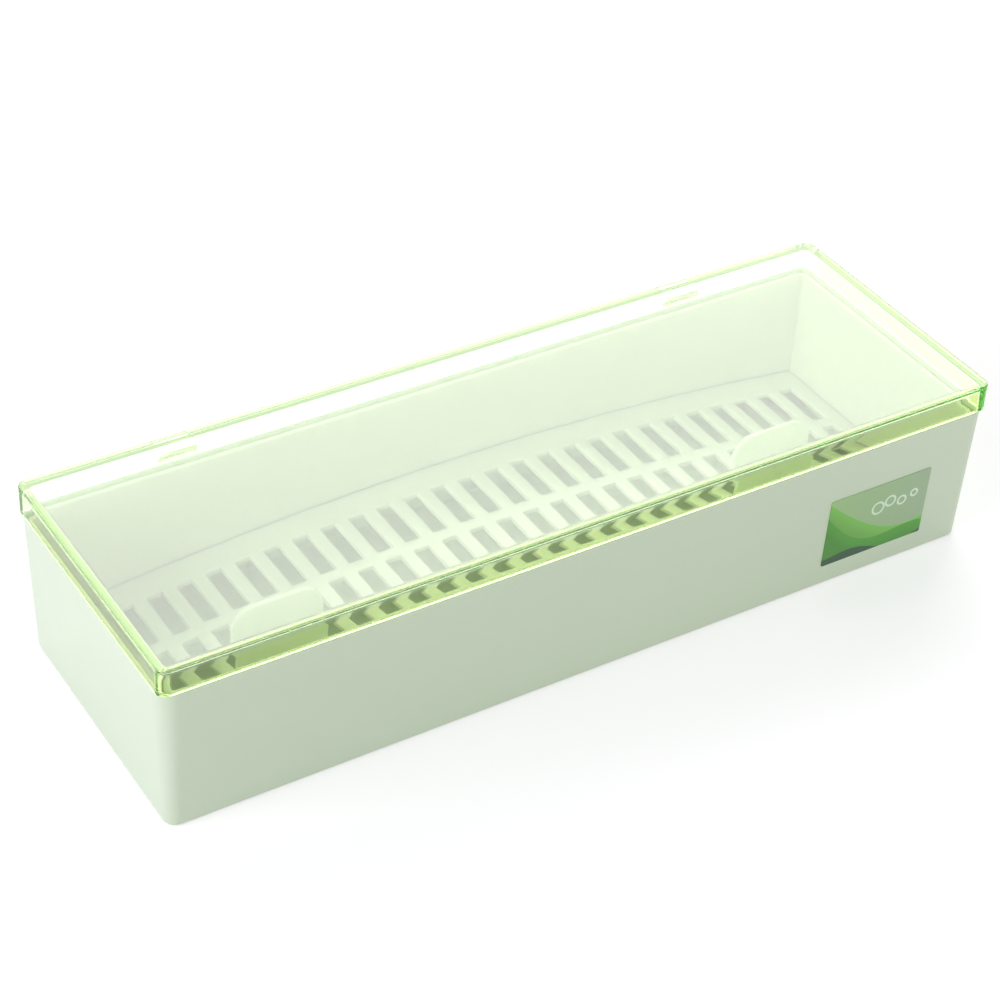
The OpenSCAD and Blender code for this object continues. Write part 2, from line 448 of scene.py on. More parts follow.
@dataclass(frozen=True)
class Loop:
    """A rounded rectangle that lofts follow, with points in the same order at every size."""

    half_x: float
    half_y: float
    steps: int
    guard: float = 0.12
    splits: int = 0

    def points(self, station: Station) -> list[Point]:
        """Returns the loop's points at one station, anticlockwise from the +X side.

        Args:
            station: The level that is drawn.

        Returns:
            The points, in millimetres.
        """
        r = station.corner
        found: list[Point] = []
        for turn, (sx, sy) in enumerate(((1, 1), (-1, 1), (-1, -1), (1, -1))):
            cx = sx * (self.half_x - station.inset - r)
            cy = sy * (self.half_y - station.inset - r)
            start = math.radians(90 * turn)
            arc = [(cx + r * math.cos(start + a), cy + r * math.sin(start + a)) for a in quarter(self.steps)]
            along = (-math.sin(start), math.cos(start))
            after = (-math.cos(start), -math.sin(start))
            first = (arc[0][0] - self.guard * along[0], arc[0][1] - self.guard * along[1])
            last = (arc[-1][0] + self.guard * after[0], arc[-1][1] + self.guard * after[1])
            found += [(x, y, station.z) for x, y in (first, *arc, last)]
        return self.split(found) if self.splits else found

    def split(self, points: list[Point]) -> list[Point]:
        """Adds even points along the two long sides."""
        size = len(points) // 4
        out: list[Point] = []
        for turn in range(4):
            side = points[turn * size:(turn + 1) * size]
            out += side
            if turn % 2 == 0:
                a, b = Vector(side[-1]), Vector(points[(turn + 1) * size % len(points)])
                out += [tuple(a.lerp(b, i / (self.splits + 1))) for i in range(1, self.splits + 1)]
        return out


def to_mesh(name: str, points: Sequence[Point], faces: Sequence[Sequence[int]]) -> bpy.types.Object:
    """Makes an object from points in millimetres, with its faces turned outwards.

    Args:
        name: The object's name.
        points: The vertices.
        faces: Vertex numbers of each face.

    Returns:
        The object, at the origin and linked to the scene.
    """
    obj = raw_mesh(name, points, faces)
    tidy(obj)
    return obj


def raw_mesh(name: str, points: Sequence[Point], faces: Sequence[Sequence[int]]) -> bpy.types.Object:
    """Makes an object from points in millimetres, with its faces as they are given."""
    mesh = bpy.data.meshes.new(name)
    mesh.from_pydata([tuple(c * MM for c in p) for p in points], [], faces)
    return linked(name, mesh)


def linked(name: str, mesh: bpy.types.Mesh) -> bpy.types.Object:
    """Puts a mesh in the scene."""
    obj = bpy.data.objects.new(name, mesh)
    bpy.context.scene.collection.objects.link(obj)
    return obj


def tidy(obj: bpy.types.Object) -> None:
    """Merges doubles, turns faces outwards and shades the mesh smooth between sharp edges."""
    work = bmesh.new()
    work.from_mesh(obj.data)
    bmesh.ops.remove_doubles(work, verts=work.verts, dist=MERGE)
    bmesh.ops.recalc_face_normals(work, faces=work.faces)
    work.to_mesh(obj.data)
    work.free()
    smooth(obj)


def smooth(obj: bpy.types.Object) -> None:
    """Shades a mesh smooth between its sharp edges."""
    obj.data.shade_smooth()
    obj.data.set_sharp_from_angle(angle=SMOOTH_ANGLE)


def dress(obj: bpy.types.Object, finish: bpy.types.Material) -> None:
    """Gives a whole object one material."""
    obj.data.materials.clear()
    obj.data.materials.append(finish)


def loft(name: str, rings: Sequence[Sequence[Point]], ends: bool = True) -> bpy.types.Object:
    """Joins rings of points in order.

    Args:
        name: The object's name.
        rings: Rings with the same number of points.
        ends: True closes the first and last ring with a face, False joins them to each other.

    Returns:
        The closed object.
    """
    size = len(rings[0])
    points = [p for ring in rings for p in ring]
    faces: list[list[int]] = []
    pairs = len(rings) - 1 if ends else len(rings)
    for i in range(pairs):
        low, high = i * size, (i + 1) % len(rings) * size
        for j in range(size):
            k = (j + 1) % size
            faces.append([low + j, low + k, high + k, high + j])
    if ends:
        faces.append(list(range(size))[::-1])
        faces.append([(len(rings) - 1) * size + j for j in range(size)])
    return to_mesh(name, points, faces)


def prism(
    name: str, outline: Sequence[tuple[float, float]], low: float, high: float,
    place: Callable[[float, float, float], Point], bevel: float = 0.0,
) -> bpy.types.Object:
    """Makes a flat plate of any outline.

    Args:
        name: The object's name.
        outline: The outline's points in the plate's own two directions.
        low: Where the plate starts along the third direction.
        high: Where it ends.
        place: Turns the three values into a point.
        bevel: Width of the rounding along its two outlines.

    Returns:
        The closed plate.
    """
    size = len(outline)
    points = [place(a, b, low) for a, b in outline] + [place(a, b, high) for a, b in outline]
    faces = [[j, (j + 1) % size, size + (j + 1) % size, size + j] for j in range(size)]
    faces += [list(range(size))[::-1], list(range(size, 2 * size))]
    obj = to_mesh(name, points, faces)
    if bevel > 0:
        work = bmesh.new()
        work.from_mesh(obj.data)
        flat = {f for f in work.faces if len(f.verts) == size}
        rim = [e for e in work.edges if sum(f in flat for f in e.link_faces) == 1]
        bmesh.ops.bevel(work, geom=rim, offset=bevel * MM, segments=3, profile=0.5, affect="EDGES")
        work.to_mesh(obj.data)
        work.free()
        tidy(obj)
    return obj


def bake(obj: bpy.types.Object) -> None:
    """Turns an object's modifiers into plain mesh."""
    bpy.context.view_layer.update()
    seen = obj.evaluated_get(bpy.context.evaluated_depsgraph_get())
    mesh = bpy.data.meshes.new_from_object(seen)
    obj.modifiers.clear()
    obj.data = mesh


def drop(*objects: bpy.types.Object) -> None:
    """Removes helper objects."""
    for obj in objects:
        bpy.data.objects.remove(obj)


def cut(obj: bpy.types.Object, tool: bpy.types.Object, operation: str) -> None:
    """Joins a tool to an object or takes it away, then removes the tool.

    Args:
        obj: The object that is changed.
        tool: The shape that is joined or taken away.
        operation: UNION or DIFFERENCE.
    """
    change = obj.modifiers.new("change", "BOOLEAN")
    change.operation = operation
    change.solver = "EXACT"
    change.object = tool
    bake(obj)
    drop(tool)
    tidy(obj)


def merge_into(obj: bpy.types.Object, *others: bpy.types.Object) -> None:
    """Adds the shells of other objects to an object's mesh, then removes them."""
    work = bmesh.new()
    for source in (obj, *others):
        work.from_mesh(source.data)
    work.to_mesh(obj.data)
    work.free()
    drop(*others)
    smooth(obj)


class Tree:
    """A geometry tree whose inputs are named and set by identifier."""

    def __init__(self, name: str, inputs: dict[str, str]) -> None:
        """Starts the tree.

        Args:
            name: The tree's name.
            inputs: Socket type of each named input.
        """
        self.tree = bpy.data.node_groups.new(name, "GeometryNodeTree")
        face = self.tree.interface
        face.new_socket("Geometry", in_out="INPUT", socket_type="NodeSocketGeometry")
        for title, kind in inputs.items():
            face.new_socket(title, in_out="INPUT", socket_type=kind)
        face.new_socket("Geometry", in_out="OUTPUT", socket_type="NodeSocketGeometry")
        self.graph = Graph(self.tree)
        self.given = self.graph.node("NodeGroupInput")

    def finish(self, geometry: Sock, material: Sock) -> None:
        """Ends the tree in Realize Instances and Set Material."""
        real = self.graph.node("GeometryNodeRealizeInstances", {0: geometry})
        dressed = self.graph.node("GeometryNodeSetMaterial", {"Geometry": real, "Material": material})
        self.graph.node("NodeGroupOutput", {0: dressed})

    def add_to(self, obj: bpy.types.Object, values: dict[str, object]) -> None:
        """Adds the tree to an object with these input values."""
        modifier = obj.modifiers.new(self.tree.name, "NODES")
        modifier.node_group = self.tree
        for item in self.tree.interface.items_tree:
            if item.in_out == "INPUT" and item.name in values:
                modifier[item.identifier] = values[item.name]


def row_tree() -> Tree:
    """Builds the tree that sets copies of a piece in a row.

    Returns:
        A tree with the piece, the count, the start, the step, a turn for each copy and a material.
    """
    tree = Tree("row_of_copies", {
        "Piece": "NodeSocketObject",
        "Count": "NodeSocketInt",
        "Start": "NodeSocketVector",
        "Step": "NodeSocketVector",
        "Turn": "NodeSocketFloat",
        "Material": "NodeSocketMaterial",
    })
    graph, given = tree.graph, tree.given
    line = graph.node("GeometryNodeMeshLine", {
        "Count": given.twin("Count"),
        "Start Location": given.twin("Start"),
        "Offset": given.twin("Step"),
    }, mode="OFFSET")
    piece = graph.node("GeometryNodeObjectInfo", {
        "Object": given.twin("Piece"),
        "As Instance": True,
    }, out="Geometry")
    turn = graph.node("GeometryNodeInputIndex") * given.twin("Turn")
    spin = graph.node("ShaderNodeCombineXYZ", {"Z": turn})
    copies = graph.node("GeometryNodeInstanceOnPoints", {"Points": line, "Instance": piece, "Rotation": spin})
    both = graph.node("GeometryNodeJoinGeometry", {0: given})
    graph.feed(both.socket.node.inputs[0], copies)
    tree.finish(both, given.twin("Material"))
    return tree


def drum_tree() -> Tree:
    """Builds the tree that lays a flat plate over a wide drum.

    Returns:
        A tree with the drum's radius, the height of its crown and a material.
    """
    tree = Tree("over_a_drum", {
        "Radius": "NodeSocketFloat",
        "Crown": "NodeSocketFloat",
        "Material": "NodeSocketMaterial",
    })
    graph, given = tree.graph, tree.given
    radius = given.twin("Radius")
    welded = graph.node("GeometryNodeMergeByDistance", {"Geometry": given, "Distance": 1e-6})
    x = graph.node("ShaderNodeSeparateXYZ", {0: graph.node("GeometryNodeInputPosition")})
    sag = graph.math("SQRT", radius * radius - x * x) - radius
    rise = graph.node("ShaderNodeCombineXYZ", {"Z": sag + given.twin("Crown")})
    bent = graph.node("GeometryNodeSetPosition", {"Geometry": welded, "Offset": rise})
    tree.finish(bent, given.twin("Material"))
    return tree


@dataclass(frozen=True)
class Sizes:
    """Driving sizes that the sub-assemblies share, in millimetres."""

    rim_h: float = 50.2
    draft: float = 1.45
    step_in: float = 0.1
    wall: float = 2.6
    corner: float = 5.5
    gap: float = 0.45
    hinge_x: float = 92.0
    pin_y: float = 52.4
    pin_z: float = 39.5
    pin_r: float = 1.25
    lug_t: float = 3.0
    knuckle_w: float = 11.6
    lug_gap: float = 0.4
    lid_half_x: float = field(default_factory=lambda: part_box("lid")[1].x / MM)
    lid_half_y: float = field(default_factory=lambda: -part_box("lid")[0].y / MM)
    lid_top: float = field(default_factory=lambda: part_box("lid")[1].z / MM)

    @property
    def half_x(self) -> float:
        """Half the box's length at its rim."""
        return self.lid_half_x - self.step_in

    @property
    def half_y(self) -> float:
        """Half the box's width at its rim."""
        return self.lid_half_y - self.step_in

    def lean(self, z: float) -> float:
        """How far a wall has moved in from its place at the rim, at height z."""
        return (self.rim_h - z) * self.draft / self.rim_h

    @property
    def lug_x(self) -> float:
        """Distance of a lug's middle from the middle of its hinge."""
        return self.knuckle_w / 2 + self.lug_gap + self.lug_t / 2


def across(y: float, z: float, x: float) -> Point:
    """Places a side profile, with its width along X."""
    return x, y, z


def flat_on(x: float, y: float, z: float) -> Point:
    """Places a plan outline, with its thickness along Z."""
    return x, y, z


def facing(x: float, z: float, y: float) -> Point:
    """Places a front outline, with its thickness along Y."""
    return x, y, z


def circle(cx: float, cy: float, r: float, start: float, end: float, steps: int) -> list[tuple[float, float]]:
    """Returns points of an arc, with its angles in degrees."""
    turns = (math.radians(start + (end - start) * i / steps) for i in range(steps + 1))
    return [(cx + r * math.cos(a), cy + r * math.sin(a)) for a in turns]


def whole_circle(cx: float, cy: float, r: float) -> list[tuple[float, float]]:
    """Returns points all round a circle, the first one only once."""
    return circle(cx, cy, r, 0, 360 - 360 / ROUND_STEPS, ROUND_STEPS - 1)


def rounded_outline(half_a: float, half_b: float, r: float, steps: int) -> list[tuple[float, float]]:
    """Returns the outline of a rounded rectangle."""
    found: list[tuple[float, float]] = []
    for turn, (sa, sb) in enumerate(((1, 1), (-1, 1), (-1, -1), (1, -1))):
        found += circle(sa * (half_a - r), sb * (half_b - r), r, 90 * turn, 90 * turn + 90, steps)
    return found


@dataclass
class OuterBox:
    """The pale outer box with its recessed underside, ledges and hinge lugs."""

    sizes: Sizes
    finish: bpy.types.Material
    rows: Tree
    base_edge: float = 1.2
    rim_edge: float = 0.4
    floor_edge: float = 1.0
    recess: float = 0.7
    panel_rim: float = 11.0
    panel_rib: float = 10.0
    panel_corner: float = 3.0
    lug_r: float = 4.0
    pin_slack: float = 0.01
    gusset: float = 40.0
    ledge_w: float = 60.0
    ledge_t: float = 2.85
    ledge_top: float = 8.3

    def build(self) -> bpy.types.Object:
        """Builds the box and puts it on the frame."""
        box = self.shell()
        self.cut_panels(box)
        self.add_lugs(box)
        merge_into(box, self.ledge(-1), self.ledge(1))
        dress(box, self.finish)
        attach(box, Body.BASE.value)
        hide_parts("outer_box")
        return box

    def shell(self) -> bpy.types.Object:
        """Lofts the walls from the underside, over the rim and down to the inner floor."""
        s = self.sizes
        flat = self.base_edge + SLIVER
        levels = [Station(s.lean(0) + flat, 0.0, self.radius(0) - flat)]
        for z, inset in rounding(self.base_edge, 8):
            levels.append(Station(s.lean(0) + inset, z, self.radius(0) - inset))
        levels.append(self.outside(self.base_edge + 1.5 * SLIVER))
        levels.append(self.outside(s.rim_h - self.rim_edge - SLIVER))
        for inset, below in rounding(self.rim_edge, 4):
            levels.append(Station(inset, s.rim_h - below, s.corner - inset))
        for below, back in rounding(self.rim_edge, 4):
            inset = s.wall - back
            levels.append(Station(inset, s.rim_h - below, s.corner - inset))
        levels.append(self.inside(s.rim_h - self.rim_edge - SLIVER))
        levels.append(self.inside(s.wall + self.floor_edge + SLIVER))
        for grow, above in rounding(self.floor_edge, 6):
            inset = s.wall + s.lean(s.wall) + grow
            levels.append(Station(inset, s.wall + above, s.corner - inset))
        last = levels[-1]
        levels.append(Station(last.inset + SLIVER, s.wall, last.corner - SLIVER))
        loop = Loop(s.half_x, s.half_y, steps=16)
        return loft("outer_box_shell", [loop.points(level) for level in levels])

    def radius(self, z: float) -> float:
        """Returns the outer corner radius at height z."""
        return self.sizes.corner - self.sizes.lean(z)

    def outside(self, z: float) -> Station:
        """Returns the outer wall's station at height z."""
        return Station(self.sizes.lean(z), z, self.radius(z))

    def inside(self, z: float) -> Station:
        """Returns the inner wall's station at height z."""
        inset = self.sizes.lean(z) + self.sizes.wall
        return Station(inset, z, self.sizes.corner - inset)

    def cut_panels(self, box: bpy.types.Object) -> None:
        """Takes four shallow panels out of the underside, two by two."""
        s = self.sizes
        length = (2 * s.lid_half_x - self.panel_rib) / 2 - self.panel_rim
        width = (2 * s.lid_half_y - self.panel_rib) / 2 - self.panel_rim
        outline = rounded_outline(length / 2, width / 2, self.panel_corner, 8)
        panel = prism("panel", outline, -1.0, self.recess, flat_on)
        step_x = (length + self.panel_rib) * MM
        step_y = (width + self.panel_rib) * MM
        cutters = to_mesh("cutters", [], [])
        for side in (-1, 1):
            self.rows.add_to(cutters, {
                "Piece": panel,
                "Count": 2,
                "Start": (-step_x / 2, side * step_y / 2, 0.0),
                "Step": (step_x, 0.0, 0.0),
                "Material": self.finish,
            })
        bake(cutters)
        drop(panel)
        cut(box, cutters, "DIFFERENCE")

    def add_lugs(self, box: bpy.types.Object) -> None:
        """Sets two pairs of hinge lugs on the rear wall."""
        s = self.sizes
        lug = self.lug()
        pair = to_mesh("lugs", [], [])
        for side in (-1, 1):
            self.rows.add_to(pair, {
                "Piece": lug,
                "Count": 2,
                "Start": ((side * s.hinge_x - s.lug_x) * MM, 0.0, 0.0),
                "Step": (2 * s.lug_x * MM, 0.0, 0.0),
                "Material": self.finish,
            })
        bake(pair)
        drop(lug)
        merge_into(box, pair)

    def lug(self) -> bpy.types.Object:
        """Builds one lug on a gusset, with its bore."""
        s = self.sizes
        root = s.half_y - s.lean(s.pin_z) - s.wall / 2
        slope = math.radians(self.gusset)
        tip_y = s.pin_y + self.lug_r * math.cos(slope)
        tip_z = s.pin_z - self.lug_r * math.sin(slope)
        foot = tip_z - (tip_y - root) / math.tan(slope)
        outline = [(root, foot)]
        outline += circle(s.pin_y, s.pin_z, self.lug_r, -self.gusset, 90, 24)
        outline += [(root, s.pin_z + self.lug_r)]
        lug = prism("lug", outline, -s.lug_t / 2, s.lug_t / 2, across, 0.3)
        hole = whole_circle(s.pin_y, s.pin_z, s.pin_r + self.pin_slack)
        bore = prism("bore", hole, -s.lug_t, s.lug_t, across)
        cut(lug, bore, "DIFFERENCE")
        return lug

    def ledge(self, side: int) -> bpy.types.Object:
        """Builds one ledge that the basket's end wall rests on."""
        s = self.sizes
        wall = s.half_x - s.lean(self.ledge_top) - s.wall
        outline = rounded_outline((self.ledge_t + 1.0) / 2, self.ledge_w / 2, 0.6, 4)
        middle = side * (wall + 1.0 - (self.ledge_t + 1.0) / 2)

        def beside(x: float, y: float, z: float) -> Point:
            """Places the ledge's plan at the end of the box."""
            return x + middle, y, z

        return prism("ledge", outline, s.wall - 0.5, self.ledge_top, beside, 0.3)


@dataclass
class DrainBasket:
    """The lift-out basket with an arched, slotted floor and two finger tabs."""

    sizes: Sizes
    finish: bpy.types.Material
    rows: Tree
    drum: Tree
    rim_h: float = 49.2
    wall: float = 1.8
    corner: float = 3.4
    rim_edge: float = 0.5
    crown_h: float = 19.8
    arch_drop: float = 9.2
    pitch: float = 9.9
    slot_w: float = 5.5
    slot_corner: float = 0.5
    slot_edge: float = 0.35
    count: int = 27
    slot_long: float = 19.5
    slot_short: float = 16.0
    bar_w: float = 4.5
    seat: float = 0.5
    tab_w: float = 30.0
    tab_top: float = 36.0
    tab_t: float = 1.6
    tab_r: float = 7.5
    tab_slot: int = 9

    def build(self) -> bpy.types.Object:
        """Builds the basket and puts it on the frame."""
        basket = self.floor()
        merge_into(basket, self.walls(), self.tabs())
        basket.name = "basket_shell"
        dress(basket, self.finish)
        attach(basket, Body.BASKET.value)
        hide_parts("drain_basket")
        return basket

    @property
    def outer_inset(self) -> float:
        """How far the basket's outside lies in from the box's outside at the rim."""
        return self.sizes.wall + self.sizes.gap

    @property
    def arch_r(self) -> float:
        """Radius of the drum that shapes the floor."""
        half = self.sizes.half_x - self.outer_inset - self.wall
        return (half * half + self.arch_drop * self.arch_drop) / (2 * self.arch_drop)

    def top_at(self, x: float) -> float:
        """Height of the floor's upper face at a distance from the middle."""
        return self.crown_h - self.arch_r + math.sqrt(self.arch_r ** 2 - x * x)

    def under_at(self, x: float) -> float:
        """Height of the floor's lower face at a distance from the middle."""
        return self.crown_h - self.arch_r + math.sqrt((self.arch_r - self.wall) ** 2 - x * x)

    def station(self, extra: float, z: float) -> Station:
        """Returns a station of the walls.

        Args:
            extra: How far it lies in from the basket's outside.
            z: Its height.

        Returns:
            The station, moved in by the walls' lean.
        """
        inset = self.outer_inset + self.sizes.lean(z) + extra
        return Station(inset, z, self.corner - self.sizes.lean(z) - extra)

    def walls(self) -> bpy.types.Object:
        """Lofts the walls, with a lower edge that follows the arch."""
        s = self.sizes
        loop = Loop(s.half_x, s.half_y, steps=8, guard=0.1, splits=60)
        low_z = self.under_at(s.half_x - self.outer_inset)
        top_z = self.rim_h - self.rim_edge - SLIVER
        levels = [self.station(0.0, top_z)]
        for extra, below in rounding(self.rim_edge, 4):
            levels.append(self.station(extra, self.rim_h - below))
        for below, back in rounding(self.rim_edge, 4):
            levels.append(self.station(self.wall - back, self.rim_h - below))
        levels.append(self.station(self.wall, top_z))
        rings = [loop.points(level) for level in levels]
        first = self.lowered(loop.points(self.station(0.0, low_z)), rings[0])
        last = self.lowered(loop.points(self.station(self.wall, low_z)), rings[-1])
        return loft("basket_walls", [first, *rings, last], ends=False)

    def lowered(self, low: Sequence[Point], high: Sequence[Point]) -> list[Point]:
        """Slides each point of the lower ring along its wall to the floor's lower face."""
        found: list[Point] = []
        for a, b in zip(low, high):
            share = (self.under_at(a[0]) - a[2]) / (b[2] - a[2])
            found.append(tuple(Vector(a).lerp(Vector(b), share)))
        return found

    def floor(self) -> bpy.types.Object:
        """Lays out the drain floor from copies of two slotted tiles, then bends it over the drum."""
        long_y = self.slot_long + self.bar_w
        short_y = self.slot_short + self.bar_w
        long_tile = self.tile("long_tile", long_y, self.slot_long)
        short_tile = self.tile("short_tile", short_y, self.slot_short)
        floor = self.margin(short_y / 2, short_y / 2 + long_y)
        row_y = (short_y + long_y) / 2
        start_x = -(self.count - 1) / 2 * self.pitch
        for piece, y in ((long_tile, -row_y), (short_tile, 0.0), (long_tile, row_y)):
            self.rows.add_to(floor, {
                "Piece": piece,
                "Count": self.count,
                "Start": (start_x * MM, y * MM, 0.0),
                "Step": (self.pitch * MM, 0.0, 0.0),
                "Material": self.finish,
            })
        self.drum.add_to(floor, {
            "Radius": self.arch_r * MM,
            "Crown": self.crown_h * MM,
            "Material": self.finish,
        })
        bake(floor)
        drop(long_tile, short_tile)
        tidy(floor)
        return floor

    def tile(self, name: str, length: float, slot: float) -> bpy.types.Object:
        """Builds one cell of the floor with its slot, open at the sides where the next cell joins.

        Args:
            name: The tile's name.
            length: Its length, front to back.
            slot: Length of the slot in it.

        Returns:
            The tile, with its upper face at 0.
        """
        half_x, half_y = self.pitch / 2, length / 2
        work = bmesh.new()

        def ring(outline: Sequence[tuple[float, float]], z: float) -> list[bmesh.types.BMVert]:
            """Adds a closed ring of edges."""
            found = [work.verts.new((x * MM, y * MM, z * MM)) for x, y in outline]
            for i, vertex in enumerate(found):
                work.edges.new((vertex, found[(i + 1) % len(found)]))
            return found

        def skin(first: Sequence[bmesh.types.BMVert], second: Sequence[bmesh.types.BMVert]) -> None:
            """Joins two rings with faces."""
            for i in range(len(first)):
                k = (i + 1) % len(first)
                work.faces.new((first[i], first[k], second[k], second[i]))

        frame_line = [(half_x, half_y), (-half_x, half_y), (-half_x, -half_y), (half_x, -half_y)]
        hole = [
            ring(rounded_outline(self.slot_w / 2 + grow, slot / 2 + grow, self.slot_corner + grow, 4), z)
            for grow, z in self.slot_profile()
        ]
        for lower, upper in zip(hole, hole[1:]):
            skin(lower, upper)
        for edge, z in ((hole[0], -self.wall), (hole[-1], 0.0)):
            outer = ring(frame_line, z)
            edges = [e for e in work.edges if all(v in outer or v in edge for v in e.verts)]
            bmesh.ops.triangle_fill(work, edges=edges, use_beauty=True)
        mesh = bpy.data.meshes.new(name)
        bmesh.ops.recalc_face_normals(work, faces=work.faces)
        work.to_mesh(mesh)
        work.free()
        return linked(name, mesh)

    def slot_profile(self) -> list[tuple[float, float]]:
        """Returns how wide and how high each ring of a slot's wall lies, from below to above."""
        return [(0.0, -self.wall)] + [(grow, -below) for grow, below in rounding(self.slot_edge, 3)]

    def margin(self, inner_row: float, outer_row: float) -> bpy.types.Object:
        """Builds the plain border of the floor, whose edge is let into the walls.

        Args:
            inner_row: Where the middle row's tiles end, front and back.
            outer_row: Where the outer rows' tiles end.

        Returns:
            The flat border, with its upper face at 0.
        """
        s = self.sizes
        end_x = s.half_x - s.lean(self.crown_h - self.arch_drop) - self.outer_inset - self.wall + self.seat
        end_y = s.half_y - s.lean(self.crown_h) - self.outer_inset - self.wall + self.seat
        half = self.count * self.pitch / 2
        low = -self.wall
        xs = [-end_x] + [-half + i * self.pitch for i in range(self.count + 1)] + [end_x]
        ys = [-end_y, -outer_row, -inner_row, inner_row, outer_row, end_y]
        points: list[Point] = []
        faces: list[list[int]] = []

        def panel(corners: Sequence[Point]) -> None:
            """Adds one four-sided face."""
            base = len(points)
            points.extend(corners)
            faces.append([base, base + 1, base + 2, base + 3])

        for i, (x0, x1) in enumerate(zip(xs, xs[1:])):
            for j, (y0, y1) in enumerate(zip(ys, ys[1:])):
                if 0 < i < len(xs) - 2 and 0 < j < len(ys) - 2:
                    continue
                panel([(x0, y0, 0), (x1, y0, 0), (x1, y1, 0), (x0, y1, 0)])
                panel([(x0, y1, low), (x1, y1, low), (x1, y0, low), (x0, y0, low)])
        for x0, x1 in zip(xs, xs[1:]):
            panel([(x0, -end_y, low), (x1, -end_y, low), (x1, -end_y, 0), (x0, -end_y, 0)])
            panel([(x1, end_y, low), (x0, end_y, low), (x0, end_y, 0), (x1, end_y, 0)])
        for y0, y1 in zip(ys, ys[1:]):
            panel([(end_x, y0, low), (end_x, y1, low), (end_x, y1, 0), (end_x, y0, 0)])
            panel([(-end_x, y1, low), (-end_x, y0, low), (-end_x, y0, 0), (-end_x, y1, 0)])
        return raw_mesh("drain_floor", points, faces)

    def tabs(self) -> bpy.types.Object:
        """Sets the two finger tabs on the bar in front of the middle row."""
        tab = self.tab()
        reach = self.tab_slot * self.pitch
        tab_y = -(self.slot_short + self.bar_w) / 2
        both = to_mesh("tabs", [], [])
        self.rows.add_to(both, {
            "Piece": tab,
            "Count": 2,
            "Start": (reach * MM, tab_y * MM, 0.0),
            "Step": (-2 * reach * MM, 0.0, 0.0),
            "Turn": math.pi,
            "Material": self.finish,
        })
        bake(both)
        drop(tab)
        return both

    def tab(self) -> bpy.types.Object:
        """Builds one tab with round shoulders, on a foot that follows the arch."""
        half = self.tab_w / 2
        reach = self.tab_slot * self.pitch
        sunk = self.wall / 2
        outline = [(half, self.top_at(reach + half) - sunk)]
        outline += circle(half - self.tab_r, self.tab_top - self.tab_r, self.tab_r, 0, 90, 14)
        outline += circle(-half + self.tab_r, self.tab_top - self.tab_r, self.tab_r, 90, 180, 14)
        outline += [(-half, self.top_at(reach - half) - sunk)]
        return prism("tab", outline, -self.tab_t / 2, self.tab_t / 2, facing, 0.35)


